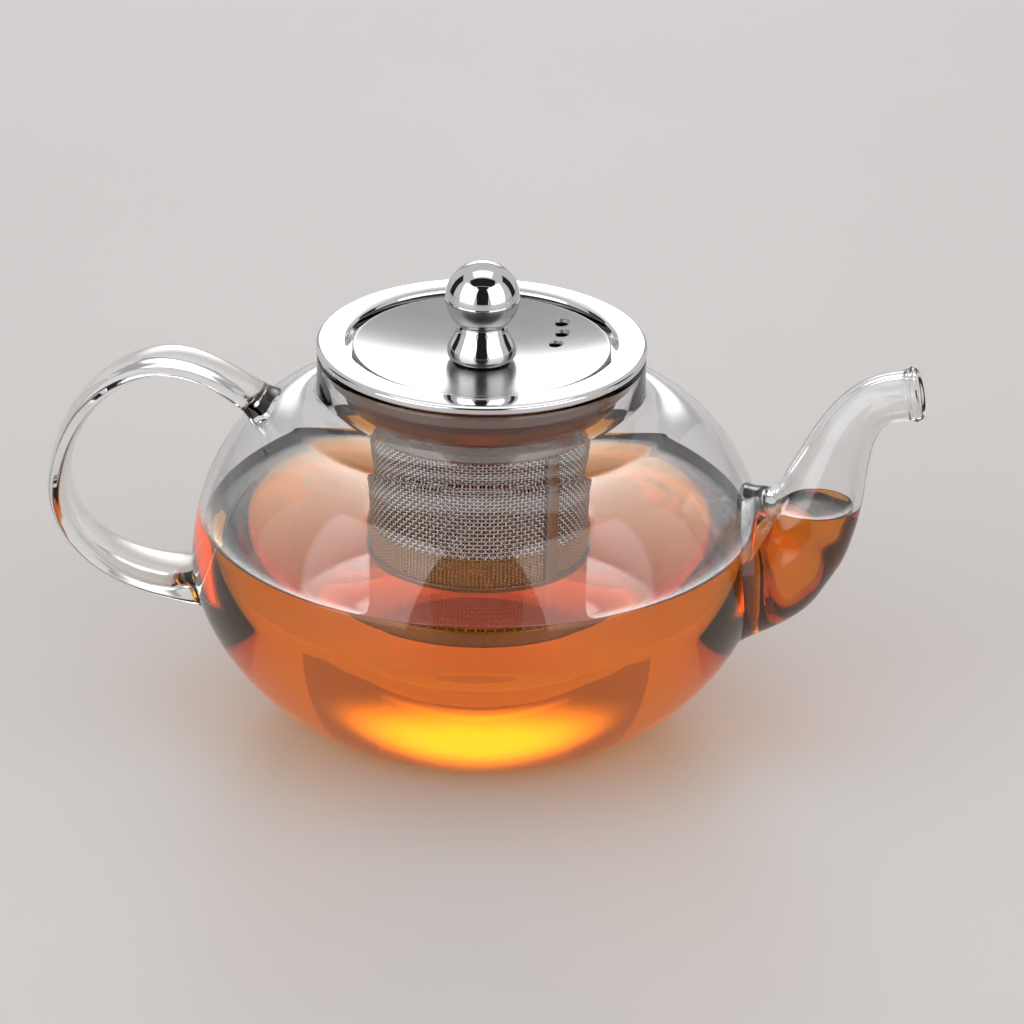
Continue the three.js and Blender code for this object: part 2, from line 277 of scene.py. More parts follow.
# ------------------------------------------------------------------ materials
def new_mat(name):
    m = bpy.data.materials.new(name)
    m.use_nodes = True
    nt = m.node_tree
    p = nt.nodes["Principled BSDF"]
    return m, nt, p, nt.nodes["Material Output"]


def node(nt, kind, **kw):
    n = nt.nodes.new(kind)
    for k, v in kw.items():
        if k in n.inputs.keys():
            n.inputs[k].default_value = v
        else:
            setattr(n, k, v)
    return n


def ring_coords(nt, angle_scale=1.0):
    """Object coordinates turned into (radius, angle, height), for grain that runs round the axis."""
    tc = node(nt, "ShaderNodeTexCoord")
    sep = node(nt, "ShaderNodeSeparateXYZ")
    nt.links.new(tc.outputs["Object"], sep.inputs[0])
    x2 = node(nt, "ShaderNodeMath", operation="MULTIPLY")
    y2 = node(nt, "ShaderNodeMath", operation="MULTIPLY")
    for n, s in ((x2, "X"), (y2, "Y")):
        nt.links.new(sep.outputs[s], n.inputs[0])
        nt.links.new(sep.outputs[s], n.inputs[1])
    add = node(nt, "ShaderNodeMath", operation="ADD")
    nt.links.new(x2.outputs[0], add.inputs[0])
    nt.links.new(y2.outputs[0], add.inputs[1])
    rad = node(nt, "ShaderNodeMath", operation="SQRT")
    nt.links.new(add.outputs[0], rad.inputs[0])
    comb = node(nt, "ShaderNodeCombineXYZ")
    nt.links.new(rad.outputs[0], comb.inputs["X"])
    nt.links.new(sep.outputs["Z"], comb.inputs["Z"])
    # a slow drift round the circle so that the rings are not perfectly even
    drift = node(nt, "ShaderNodeTexNoise", Scale=18.0 * angle_scale, Detail=1.0)
    nt.links.new(tc.outputs["Object"], drift.inputs["Vector"])
    sc = node(nt, "ShaderNodeMath", operation="MULTIPLY")
    sc.inputs[1].default_value = 0.0006
    nt.links.new(drift.outputs["Fac"], sc.inputs[0])
    nt.links.new(sc.outputs[0], comb.inputs["Y"])
    return tc, comb


def steel(name, tint, rough_lo, rough_hi, spin=0.0, smear=0.0, scale=60.0):
    """Stainless steel: roughness wanders with handling marks, spun parts get a fine circular grain."""
    m, nt, p, out = new_mat(name)
    p.inputs["Metallic"].default_value = 1.0
    tc, comb = ring_coords(nt)
    blotch = node(nt, "ShaderNodeTexNoise", Scale=scale, Detail=4.0, Roughness=0.55)
    nt.links.new(tc.outputs["Object"], blotch.inputs["Vector"])
    grain = node(nt, "ShaderNodeTexNoise", Scale=2600.0, Detail=3.0, Roughness=0.6)
    nt.links.new(comb.outputs[0], grain.inputs["Vector"])
    mix = node(nt, "ShaderNodeMix", data_type="FLOAT")
    mix.inputs[0].default_value = 0.5 if spin else 0.12
    nt.links.new(blotch.outputs["Fac"], mix.inputs[2])
    nt.links.new(grain.outputs["Fac"], mix.inputs[3])
    ramp = node(nt, "ShaderNodeMapRange")
    ramp.inputs["From Min"].default_value = 0.32
    ramp.inputs["From Max"].default_value = 0.68
    ramp.inputs["To Min"].default_value = rough_lo
    ramp.inputs["To Max"].default_value = rough_hi
    nt.links.new(mix.outputs[0], ramp.inputs["Value"])
    nt.links.new(ramp.outputs[0], p.inputs["Roughness"])
    col = node(nt, "ShaderNodeValToRGB")
    col.color_ramp.elements[0].position = 0.35
    col.color_ramp.elements[0].color = (*[c * 0.93 for c in tint], 1)
    col.color_ramp.elements[1].position = 0.65
    col.color_ramp.elements[1].color = (*tint, 1)
    nt.links.new(blotch.outputs["Fac"], col.inputs[0])
    nt.links.new(col.outputs[0], p.inputs["Base Color"])
    if spin:
        bump = node(nt, "ShaderNodeBump", Strength=spin, Distance=0.00002)
        nt.links.new(grain.outputs["Fac"], bump.inputs["Height"])
        nt.links.new(bump.outputs[0], p.inputs["Normal"])
    return m


def painted_shade_inside(m, inner_shade):
    """Painted shade: the side of the wires turned to the inside of the basket is painted near-black, standing in for
    the shade inside the basket.
    """
    nt = m.node_tree
    p = next(n for n in nt.nodes if n.type == "BSDF_PRINCIPLED")
    bright = p.inputs["Base Color"].links[0].from_socket
    tc = node(nt, "ShaderNodeTexCoord")
    geo = node(nt, "ShaderNodeNewGeometry")
    flat = node(nt, "ShaderNodeVectorMath", operation="MULTIPLY")
    flat.inputs[1].default_value = (1, 1, 0)
    nt.links.new(tc.outputs["Object"], flat.inputs[0])
    unit = node(nt, "ShaderNodeVectorMath", operation="NORMALIZE")
    nt.links.new(flat.outputs[0], unit.inputs[0])
    dot = node(nt, "ShaderNodeVectorMath", operation="DOT_PRODUCT")
    nt.links.new(geo.outputs["Normal"], dot.inputs[0])
    nt.links.new(unit.outputs[0], dot.inputs[1])
    mr = node(nt, "ShaderNodeMapRange")
    mr.inputs["From Min"].default_value = 0.05
    mr.inputs["From Max"].default_value = 0.55
    nt.links.new(dot.outputs["Value"], mr.inputs["Value"])
    # painted shade colour on the inward side, the steel's own colour on the outward side
    mix = node(nt, "ShaderNodeMix", data_type="RGBA")
    mix.inputs[6].default_value = (*inner_shade, 1)
    nt.links.new(mr.outputs[0], mix.inputs[0])
    nt.links.new(bright, mix.inputs[7])
    nt.links.new(mix.outputs[2], p.inputs["Base Color"])
    return m


def lamp_through(nt, p, out, tint):
    """Lamps shine through clear pieces, so that they shade softly and do not go black underneath."""
    lp = node(nt, "ShaderNodeLightPath")
    tr = node(nt, "ShaderNodeBsdfTransparent")
    tr.inputs["Color"].default_value = (*tint, 1)
    mx = node(nt, "ShaderNodeMixShader")
    nt.links.new(lp.outputs["Is Shadow Ray"], mx.inputs[0])
    nt.links.new(p.outputs[0], mx.inputs[1])
    nt.links.new(tr.outputs[0], mx.inputs[2])
    nt.links.new(mx.outputs[0], out.inputs["Surface"])


def clear_glass(name, ripple=0.06):
    """Clear borosilicate: blown glass keeps a faint slow ripple."""
    m, nt, p, out = new_mat(name)
    p.inputs["Base Color"].default_value = (0.985, 0.99, 0.99, 1)
    p.inputs["Transmission Weight"].default_value = 1.0
    p.inputs["IOR"].default_value = 1.473
    tc = node(nt, "ShaderNodeTexCoord")
    mp = node(nt, "ShaderNodeMapping")
    mp.inputs["Scale"].default_value = (1, 1, 2.2)
    nt.links.new(tc.outputs["Object"], mp.inputs["Vector"])
    wave = node(nt, "ShaderNodeTexNoise", Scale=26.0, Detail=1.5, Roughness=0.4)
    nt.links.new(mp.outputs[0], wave.inputs["Vector"])
    bump = node(nt, "ShaderNodeBump", Strength=ripple, Distance=0.0008)
    nt.links.new(wave.outputs["Fac"], bump.inputs["Height"])
    nt.links.new(bump.outputs[0], p.inputs["Normal"])
    smut = node(nt, "ShaderNodeTexNoise", Scale=90.0, Detail=3.0)
    nt.links.new(tc.outputs["Object"], smut.inputs["Vector"])
    rr = node(nt, "ShaderNodeMapRange")
    rr.inputs["From Min"].default_value = 0.55
    rr.inputs["From Max"].default_value = 0.85
    rr.inputs["To Min"].default_value = 0.0
    rr.inputs["To Max"].default_value = 0.02
    nt.links.new(smut.outputs["Fac"], rr.inputs["Value"])
    nt.links.new(rr.outputs[0], p.inputs["Roughness"])
    lamp_through(nt, p, out, (0.93, 0.945, 0.94))
    return m


def brewed_tea(name, tint, soak_up):
    """tint: what one pass through leaves at least; soak_up: red, green and blue taken out, per metre."""
    m, nt, p, out = new_mat(name)
    swirl = node(nt, "ShaderNodeTexNoise", Scale=22.0, Detail=2.0)
    cr = node(nt, "ShaderNodeValToRGB")
    cr.color_ramp.elements[0].position, cr.color_ramp.elements[1].position = 0.3, 0.7
    cr.color_ramp.elements[0].color = (*[c * k for c, k in zip(tint, (0.98, 0.93, 0.88))], 1)
    cr.color_ramp.elements[1].color = (*tint, 1)
    nt.links.new(swirl.outputs["Fac"], cr.inputs[0])
    nt.links.new(cr.outputs[0], p.inputs["Base Color"])
    p.inputs["Transmission Weight"].default_value = 1.0
    p.inputs["IOR"].default_value = 1.333
    p.inputs["Roughness"].default_value = 0.0
    tc = node(nt, "ShaderNodeTexCoord")
    still = node(nt, "ShaderNodeTexNoise", Scale=14.0, Detail=1.0)
    nt.links.new(tc.outputs["Object"], still.inputs["Vector"])
    bump = node(nt, "ShaderNodeBump", Strength=0.04, Distance=0.0008)
    nt.links.new(still.outputs["Fac"], bump.inputs["Height"])
    nt.links.new(bump.outputs[0], p.inputs["Normal"])
    lamp_through(nt, p, out, (1.0, 0.70, 0.30))
    va = node(nt, "ShaderNodeVolumeAbsorption")
    most = max(soak_up)
    va.inputs["Color"].default_value = (*[1 - k / most for k in soak_up], 1)
    va.inputs["Density"].default_value = most
    nt.links.new(va.outputs[0], out.inputs["Volume"])
    return m


M_FLANGE = steel("steel_mirror_ring", (0.82, 0.82, 0.83), 0.03, 0.07, scale=45)
M_DISC = steel("steel_lid_disc", (0.50, 0.495, 0.51), 0.20, 0.26, scale=35)
M_KNOB = steel("steel_knob", (0.78, 0.78, 0.79), 0.02, 0.05, scale=120)
# the collar's dark brown tint is painted reflection and shade: the brown and dark it shows through the glass neck are
# put into its colour, where bare stainless is much lighter
M_COLLAR_PAINTED_DARK = steel("steel_collar_painted_dark", (0.23, 0.155, 0.13), 0.10, 0.17, scale=60)
M_SATIN = steel("steel_satin_band", (0.34, 0.30, 0.285), 0.22, 0.32, scale=70)
# wire steel whose inward-facing sides carry painted shade, near black
M_WIRE = painted_shade_inside(steel("steel_wire", (0.52, 0.49, 0.475), 0.26, 0.36, scale=400), (0.035, 0.026, 0.022))
M_SCREW = steel("steel_screw", (0.62, 0.61, 0.60), 0.18, 0.30, scale=200)
M_GLASS = clear_glass("glass_borosilicate", 0.05)
M_GLASS2 = clear_glass("glass_drawn", 0.03)
M_TEA = brewed_tea("tea_in_bowl", (1.0, 0.56, 0.06), (0.2, 9.0, 70.0))
M_TEA2 = brewed_tea("tea_in_spout", (0.95, 0.44, 0.07), (1.2, 26.0, 120.0))

# ------------------------------------------------------------------ glass: bowl, spout, handle
outer = bez((37, 0), (47.8, 0), (70, 21.7), (70, 39.6), 60)
outer += bez((70, 39.6), (70, 59.0), (59.0, 76.6), (46.6, 78.7), 60, False)
outer += bez((46.6, 78.7), (43.2, 79.3), (40.0, 81.4), (40.0, 85.8), 14, False)
outer = np.array(outer)
GLASS = 2.1
inner = offset(outer, GLASS)
keep = [tuple(p) for p in inner if p[1] > 5.2]
foot = bez((0, 3.2), (16, 3.2), (26, 3.0), (33, 3.0), 12) + bez((33, 3.0), (39, 3.0), (43.4, 3.5), keep[0], 12, False)
inner_curve = [p for p in foot[:-1]] + keep            # from the axis up to the neck
mouth = [(40.0, 92.9)] + [(39.1 + 0.9 * math.cos(a), 93.05 + 0.95 * math.sin(a)) for a in np.linspace(0.1, math.pi - 0.1, 12)] + [(38.2, 92.9)]
base = [(0, 0.35), (20, 0.3), (31.5, 0.05), (33.0, 0.0)]
profile = base + [tuple(p) for p in outer] + mouth + [(38.2, 86.2)] + [p for p in inner_curve[::-1] if p[1] < 85.5]


def block(d, top, name, low=-2.0, seg=200):
    """Solid of the bowl's outside moved in by d, closed above at top."""
    c = [tuple(p) for p in offset(outer, d)]
    c = [(0, c[0][1] if low is None else low), (c[0][0], c[0][1] if low is None else low)] + c
    c = [p for p in c if p[1] <= top] + [(c[-1][0], top), (0, top)]
    return lathe(name, c, seg)


SPOUT = [
    (58.0, 41.8, 19.2), (64.0, 43.6, 18.8), (70.4, 46.2, 17.4), (75.0, 49.4, 15.5), (78.8, 52.8, 13.2),
    (81.4, 56.8, 11.5), (83.2, 61.0, 10.5), (84.6, 65.4, 9.8), (86.1, 70.2, 8.8), (87.6, 74.8, 7.95),
    (89.5, 79.3, 7.15), (92.0, 83.5, 6.5), (95.2, 86.8, 6.15), (98.8, 88.7, 6.1), (102.4, 89.6, 6.1),
    (104.0, 89.95, 6.22), (105.0, 90.15, 6.6), (105.55, 90.25, 6.85), (105.85, 90.32, 6.75), (105.95, 90.34, 6.45),
]
WALL = 1.7
HANDLE = [
    (-50.6, 73.6, 6.4, 21.0), (-52.4, 75.4, 6.0, 19.4), (-54.6, 77.2, 5.6, 17.4), (-57.4, 79.2, 5.3, 15.8), (-61.4, 81.7, 5.2, 14.8),
    (-66.4, 84.3, 5.1, 14.4), (-71.8, 86.0, 5.1, 14.4), (-77.2, 86.4, 5.1, 14.6), (-82.6, 85.3, 5.1, 14.6),
    (-87.6, 82.9, 5.1, 14.4), (-92.2, 79.5, 5.0, 14.2), (-96.1, 75.3, 5.0, 14.0), (-99.3, 70.3, 5.0, 14.0),
    (-101.7, 64.7, 5.0, 14.2), (-103.2, 58.7, 5.1, 14.4), (-103.7, 52.7, 5.2, 14.8), (-102.7, 47.0, 5.3, 15.2),
    (-100.1, 41.8, 5.4, 16.0), (-96.3, 37.5, 5.5, 17.0), (-91.5, 34.0, 5.6, 18.0), (-86.0, 31.4, 5.7, 19.2),
    (-80.0, 29.7, 6.0, 20.4), (-74.4, 29.0, 6.8, 21.6), (-70.6, 28.9, 8.2, 22.4), (-66.0, 28.9, 9.4, 23.0),
]


def nearest_on_bowl(p):
    """Signed distance (outside positive) and outward direction from the bowl's outside, for points in mm."""
    rho = np.hypot(p[:, 0], p[:, 1])
    q = np.stack([rho, p[:, 2]], -1)
    a, b = outer[:-1], outer[1:]
    ab = b - a
    t = np.clip(((q[:, None] - a[None]) * ab[None]).sum(-1) / (ab * ab).sum(-1)[None], 0, 1)
    near = a[None] + t[..., None] * ab[None]
    d2 = ((q[:, None] - near) ** 2).sum(-1)
    k = d2.argmin(1)
    i = np.arange(len(q))
    n = np.stack([ab[k, 1], -ab[k, 0]], -1)
    n /= np.linalg.norm(n, axis=1)[:, None]
    d = np.sqrt(d2[i, k]) * np.sign(((q - near[i, k]) * n).sum(-1))
    rad = p[:, :2] / np.maximum(rho, 1e-6)[:, None]
    return d, np.stack([rad[:, 0] * n[:, 0], rad[:, 1] * n[:, 0], n[:, 1]], -1)


def weld_flare(o, grow, reach, first=None):
    """Skin spreads where it meets the bowl, as drawn glass does when it is fused on."""
    me = o.data
    n = len(me.vertices)
    co = np.empty(n * 3)
    me.vertices.foreach_get("co", co)
    co = co.reshape(-1, 3) / MM
    vn = np.array([v.normal[:] for v in me.vertices])
    d, nb = nearest_on_bowl(co)
    way = vn - (vn * nb).sum(-1)[:, None] * nb
    way /= np.maximum(np.linalg.norm(way, axis=1), 1e-6)[:, None]
    amount = grow * (1 - np.clip(d, 0, reach) / reach) ** 2
    if first is not None:
        amount[first:] = 0
    co += way * amount[:, None]
    me.vertices.foreach_set("co", (co * MM).ravel())
    me.update()


sp = spline(SPOUT, 150)
T = np.gradient(sp[:, :2], axis=0)
T /= np.linalg.norm(T, axis=1)[:, None]
tip, tip_t = sp[-1], T[-1]
bead, bead_mid = 1.12, tip[2] - 1.0
skin = [(x, z, r) for x, z, r in sp]
lip = []
for a in np.linspace(0, math.pi, 13)[1:-1]:
    lip.append((tip[0] + tip_t[0] * bead * math.sin(a), tip[1] + tip_t[1] * bead * math.sin(a), bead_mid + (tip[2] - bead_mid) * math.cos(a)))
inside_skin = []
for i, (x, z, r) in enumerate(sp[::-1]):
    left = i * np.hypot(*(sp[1, :2] - sp[0, :2]))
    w = WALL + 0.35 * math.exp(-((left / 1.6) ** 2))
    inside_skin.append((x, z, min(r, 6.15 if left < 3.5 else 99) - w if left < 3.5 else r - WALL))


def rings(rows, tangents, n=80):
    a = np.linspace(0, 2 * math.pi, n, endpoint=False)
    out = []
    for (x, z, r), (tx, tz) in zip(rows, tangents):
        u, y = r * np.cos(a), r * np.sin(a)
        out.append(np.stack([x - tz * u, y, z + tx * u], -1))
    return out


R = rings(skin, T) + rings(lip, [tip_t] * len(lip)) + rings(inside_skin, T[::-1])
nr, nc = len(R), 80
F = []
for i in range(nr):
    j = (i + 1) % nr
    for k in range(nc):
        l = (k + 1) % nc
        F.append((i * nc + k, i * nc + l, j * nc + l, j * nc + k))
tagA, tagB, tagC = (bpy.data.materials.new(t) for t in ("tag_bowl", "tag_spout", "tag_handle"))
spout = marked(obj("glass_spout", np.vstack(R), F), tagB)
weld_flare(spout, 1.1, 2.8, first=len(skin) * nc)
bore_rows = [(50, 40.6, 17.2)] + [(x, z, r - WALL) for x, z, r in sp[:112]]

bowl = marked(lathe("glass_bowl", profile, 224), tagA)
bore = marked(loft("bore", bore_rows, lambda r: circle(r[2], 80)), tagA)
handle = marked(loft("glass_handle", spline(HANDLE, 190), lambda r: strap(r[2], r[3])), tagC)
weld_flare(handle, 0.7, 2.6)
inB = marked(block(1.0, 84.0, "inB"), tagB)
inC = marked(block(1.0, 84.0, "inC"), tagC)
boolean(spout, inB, "DIFFERENCE")
boolean(handle, inC, "DIFFERENCE")
boolean(bowl, bore, "DIFFERENCE")
boolean(bowl, spout, "UNION")
boolean(bowl, handle, "UNION")


def part_of(o, tag, name, mat):
    """The faces of o that carry one tag, as a piece of its own."""
    c = copy_of(o, name)
    idx = [i for i, m in enumerate(c.data.materials) if m and m.name.split(".")[0] == tag.name]
    bm = bmesh.new()
    bm.from_mesh(c.data)
    bmesh.ops.delete(bm, geom=[f for f in bm.faces if f.material_index not in idx], context="FACES")
    for f in bm.faces:
        f.material_index = 0
    bm.to_mesh(c.data)
    bm.free()
    c.data.materials.clear()
    c.data.materials.append(mat)
    finish_shading(c, True, 34)
    return c


bowl.name = "fused"
g_bowl = part_of(bowl, tagA, "glass_bowl_blown", M_GLASS)
g_spout = part_of(bowl, tagB, "glass_spout_drawn", M_GLASS2)
g_handle = part_of(bowl, tagC, "glass_handle_strap", M_GLASS2)
bpy.data.objects.remove(bowl)
for o, n in ((g_bowl, "glass_bowl"), (g_spout, "glass_spout"), (g_handle, "glass_handle")):
    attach(o, "pot")
    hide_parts(n)

# ------------------------------------------------------------------ tea
LEVEL, SPOUT_LEVEL, soak = 50.0, 58.6, 0.25


def climb(d, high, reach):
    """Height by which the tea creeps up a wall it wets, at distance d from it."""
    return high * np.exp(-np.maximum(d, 0) / reach)


wall = [tuple(p) for p in offset(outer, GLASS - soak) if 5.2 < p[1] < LEVEL - 0.6]
rim_r = float(np.interp(LEVEL + 1.3, *zip(*[(p[1], p[0]) for p in offset(outer, GLASS - soak) if 39.6 < p[1] < 70])))
surf = []
for r in list(np.linspace(rim_r, rim_r - 6, 26)) + list(np.linspace(rim_r - 7, 30.5, 10)) + list(np.linspace(30, 26.3, 14)) + list(np.linspace(26.0, 22.5, 14)) + [18, 12, 6]:
    dw, db = rim_r - soak - r, abs(r - 26.2) - 0.25
    surf.append((r, LEVEL + climb(dw, 1.25, 1.25) + climb(db, 0.5, 0.7)))
surf.append((0, LEVEL))
tea_prof = [(0, 3.2 - soak), (16, 3.2 - soak), (26, 3.0 - soak)] + bez((33, 3.0 - soak), (39, 3.0 - soak), (43.6, 3.4 - soak), wall[0], 12) + wall[1:] + surf
tea = lathe("tea", tea_prof, 224)
tea_sp = loft("tea_in_spout", [(x, z, r + soak) for x, z, r in bore_rows[1:100]], lambda r: circle(r[2], 80))

# free surface in the spout: a sheet over the spout, closed above, that is cut away
gx, gy = np.linspace(48, 108, 150), np.linspace(-21, 21, 106)
path = np.array(bore_rows[1:100])
V, n0 = [], len(gx) * len(gy)
for x in gx:
    ramp = LEVEL - 1.5 + (SPOUT_LEVEL - LEVEL + 1.5) * (lambda t: t * t * (3 - 2 * t))(min(max((x - 66.5) / 9.0, 0), 1))
    for y in gy:
        k = int(np.argmin(np.hypot(path[:, 0] - x, path[:, 1] - ramp)))
        tx, tz = path[min(k + 1, 98), :2] - path[max(k - 1, 0), :2]
        tl = math.hypot(tx, tz)
        u = (-(x - path[k, 0]) * tz + (ramp - path[k, 1]) * tx) / tl
        V.append((x, y, ramp + float(climb(path[k, 2] - math.hypot(u, y), 1.1, 1.0))))
ng = len(gy)
F = [(i * ng + j, i * ng + j + 1, (i + 1) * ng + j + 1, (i + 1) * ng + j) for i in range(len(gx) - 1) for j in range(ng - 1)]
V += [(x, y, 130.0) for x in gx for y in gy]
F += [(n0 + i * ng + j, n0 + (i + 1) * ng + j, n0 + (i + 1) * ng + j + 1, n0 + i * ng + j + 1) for i in range(len(gx) - 1) for j in range(ng - 1)]
ringv = [i * ng for i in range(len(gx))] + [(len(gx) - 1) * ng + j for j in range(1, ng)] + [i * ng + ng - 1 for i in range(len(gx) - 2, -1, -1)] + [j for j in range(ng - 2, 0, -1)]
F += [(ringv[i], ringv[(i + 1) % len(ringv)], n0 + ringv[(i + 1) % len(ringv)], n0 + ringv[i]) for i in range(len(ringv))]
lidcut = obj("lidcut", V, F)
boolean(tea_sp, lidcut, "DIFFERENCE")
boolean(tea_sp, block(GLASS - soak + 0.06, 84.0, "core"), "DIFFERENCE")
for o, m in ((tea, M_TEA), (tea_sp, M_TEA2)):
    o.data.materials.clear()
    o.data.materials.append(m)
    finish_shading(o, True, 30)
    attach(o, "pot")


# ------------------------------------------------------------------ steel pieces
def steel_piece(o, mat, body, slot, *nodes):
    o.data.materials.clear()
    o.data.materials.append(mat)
    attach(o, body)
    if nodes:
        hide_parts(*nodes)
    return o


flange = lathe("flange_ring", rounded([
    (38.9, 94.5, 0.25), (39.7, 94.35, 0.5), (40.2, 94.9, 0.6), (40.2, 96.2, 0.55), (39.4, 96.62, 0.6),
    (33.2, 96.6, 0.45), (32.9, 96.0, 0.3), (32.9, 93.95, 0.25), (30.0, 93.9, 0.35), (30.0, 93.1, 0.3),
    (33.55, 93.1, 0.4), (33.7, 95.5, 0.35), (38.9, 95.6, 0.4),
]), 256)
steel_piece(flange, M_FLANGE, "infuser", "mirror_steel", "infuser_flange")

collar = lathe("collar_stepped", rounded([
    (27.0, 83.2, 0.3), (33.5, 83.15, 0.7), (34.05, 84.1, 0.8), (35.2, 87.4, 2.0), (35.5, 88.9, 0.6), (36.6, 89.25, 0.5),
    (37.5, 90.1, 0.8), (37.5, 95.2, 0.2), (36.7, 95.2, 0.2), (36.7, 90.5, 0.6), (36.1, 90.0, 0.5), (35.0, 89.7, 0.5),
    (34.6, 88.0, 1.2), (33.3, 84.3, 0.6), (32.9, 84.0, 0.4), (27.0, 84.0, 0.3),
]), 256)
steel_piece(collar, M_COLLAR_PAINTED_DARK, "infuser", "mirror_steel", "infuser_collar")

band = lathe("basket_band", rounded([
    (26.0, 75.6, 0.2), (26.95, 75.55, 0.35), (27.2, 76.3, 0.6), (27.15, 78.4, 2.0), (27.35, 80.8, 2.0), (27.3, 82.9, 0.2), (26.0, 82.9, 0.2),
]), 256)
steel_piece(band, M_SATIN, "infuser", "satin_steel", "infuser_band")

ringp = lathe("basket_foot_ring", rounded([
    (25.7, 31.05, 0.3), (26.9, 31.0, 0.5), (27.45, 31.5, 0.5), (27.5, 34.2, 0.25), (27.2, 34.4, 0.1), (26.95, 34.2, 0.15), (26.95, 32.1, 0.3), (25.7, 32.0, 0.3),
]), 224)
steel_piece(ringp, M_SATIN, "infuser", "satin_steel", "infuser_bottom_ring")

# seam strip: thin curved plate with soft edges, spot-welded along its length
sa, sr0, sr1 = math.radians(-42), 26.92, 27.3
half = 1.75 / 26.6
V, F = [], []
zs = np.linspace(34.8, 75.2, 61)
us = np.linspace(-1, 1, 13)
for z in zs:
    for u in us:
        lift = 0.10 * math.exp(-((u / 0.35) ** 2)) * (0.5 + 0.5 * math.cos((z - 37.0) / 4.0 * 2 * math.pi)) ** 6
        e = 0.12 * abs(u) ** 6
        V.append(((sr1 - e - lift) * math.cos(sa + u * half), (sr1 - e - lift) * math.sin(sa + u * half), z))
nb = len(V)
for z in zs:
    for u in us:
        V.append((sr0 * math.cos(sa + u * half), sr0 * math.sin(sa + u * half), z))
nu, nz = len(us), len(zs)
for s, off in ((0, 0), (1, nb)):
    for i in range(nz - 1):
        for j in range(nu - 1):
            a = off + i * nu + j
            F.append((a, a + 1, a + nu + 1, a + nu) if s == 0 else (a, a + nu, a + nu + 1, a + 1))
for i in range(nz - 1):
    for j, flip in ((0, False), (nu - 1, True)):
        a = i * nu + j
        q = (a, a + nu, nb + a + nu, nb + a)
        F.append(q[::-1] if flip else q)
for j in range(nu - 1):
    F.append((j, nb + j, nb + j + 1, j + 1))
    a = (nz - 1) * nu + j
    F.append((a, a + 1, nb + a + 1, nb + a))
seam = obj("basket_seam", V, F, True, 40)
steel_piece(seam, M_SATIN, "infuser", "satin_steel", "infuser_seam_strip")


# woven wire: every wire is a round tube that passes over and under the wires it crosses
def tube_mesh(name, paths, radius, sides=5, closed=False):
    verts, faces = [], []
    base = 0
    ang = np.linspace(0, 2 * math.pi, sides, endpoint=False)
    ca, sn = np.cos(ang), np.sin(ang)
    for P, N in paths:                 # points and outward normals
        P = np.asarray(P, float)
        N = np.asarray(N, float)
        T = np.roll(P, -1, 0) - np.roll(P, 1, 0) if closed else np.gradient(P, axis=0)
        T /= np.linalg.norm(T, axis=1)[:, None]
        B = np.cross(T, N)
        B /= np.linalg.norm(B, axis=1)[:, None]
        Nn = np.cross(B, T)
        ring = P[:, None, :] + radius * (ca[None, :, None] * Nn[:, None, :] + sn[None, :, None] * B[:, None, :])
        verts.append(ring.reshape(-1, 3))
        m = len(P)
        i = np.arange(m if closed else m - 1)
        j = (i + 1) % m
        for s in range(sides):
            t = (s + 1) % sides
            q = np.stack([base + i * sides + s, base + i * sides + t, base + j * sides + t, base + j * sides + s], -1)
            faces += q.tolist()
        if not closed:
            faces.append([base + s for s in range(sides)][::-1])
            faces.append([base + (m - 1) * sides + s for s in range(sides)])
        base += m * sides
    o = obj(name, np.vstack(verts), faces, True, None, fix=False)
    bm = bmesh.new()
    bm.from_mesh(o.data)
    bmesh.ops.recalc_face_normals(bm, faces=bm.faces)
    bm.to_mesh(o.data)
    bm.free()
    return o


MESH_R, WIRE_R = 26.15, 0.25
NV, NH = 168, 44
z0, z1 = 31.9, 76.6
pitch = (z1 - z0) / NH
warp, weft = [], []
zz = np.linspace(z0, z1, NH * 2 + 1)
for k in range(NV):
    a = 2 * math.pi * k / NV
    s = 1 if k % 2 else -1
    r = MESH_R + s * 0.9 * WIRE_R * np.cos(math.pi * (zz - z0) / pitch)
    n = np.stack([np.full_like(zz, math.cos(a)), np.full_like(zz, math.sin(a)), np.zeros_like(zz)], -1)
    warp.append((np.stack([r * math.cos(a), r * math.sin(a), zz], -1), n))
aa = np.linspace(0, 2 * math.pi, NV * 2, endpoint=False)
for h in range(NH + 1):
    z = z0 + h * pitch
    s = -1 if h % 2 == 0 else 1
    r = MESH_R + s * 0.9 * WIRE_R * np.cos(aa * NV / 2) * -1
    n = np.stack([np.cos(aa), np.sin(aa), np.zeros_like(aa)], -1)
    weft.append((np.stack([r * np.cos(aa), r * np.sin(aa), np.full_like(aa, z)], -1), n))
w1 = tube_mesh("basket_wire_upright", warp, WIRE_R)
w2 = tube_mesh("basket_wire_round", weft, WIRE_R, closed=True)
steel_piece(w1, M_WIRE, "infuser", "wire_mesh", "infuser_mesh_wall")
steel_piece(w2, M_WIRE, "infuser", "wire_mesh")

floor_paths = []
FR, step_f = 25.9, 1.0
for axis in (0, 1):
    for k in np.arange(-25.5, 25.6, step_f):
        h = math.sqrt(max(FR * FR - k * k, 0))
        if h < 1.5:
            continue
        m = int(2 * h / (step_f / 2)) + 1
        t = np.linspace(-h, h, m)
        idx = round((k + 25.5) / step_f)
        ph = math.pi * (t + 25.5) / step_f + math.pi * idx + (math.pi if axis else 0)
        z = 31.75 + 0.9 * WIRE_R * np.cos(ph)
        kk = np.full_like(t, k)
        P = np.stack([t, kk, z], -1) if axis == 0 else np.stack([kk, t, z], -1)
        floor_paths.append((P, np.tile([0, 0, 1.0], (m, 1))))
w3 = tube_mesh("basket_wire_floor", floor_paths, WIRE_R)
steel_piece(w3, M_WIRE, "infuser", "wire_mesh", "infuser_mesh_floor")

# ------------------------------------------------------------------ lid
LID_R = 31.4


def dish(r):
    return 92.0 + (95.4 - 92.0) * (r / 29.8) ** 2


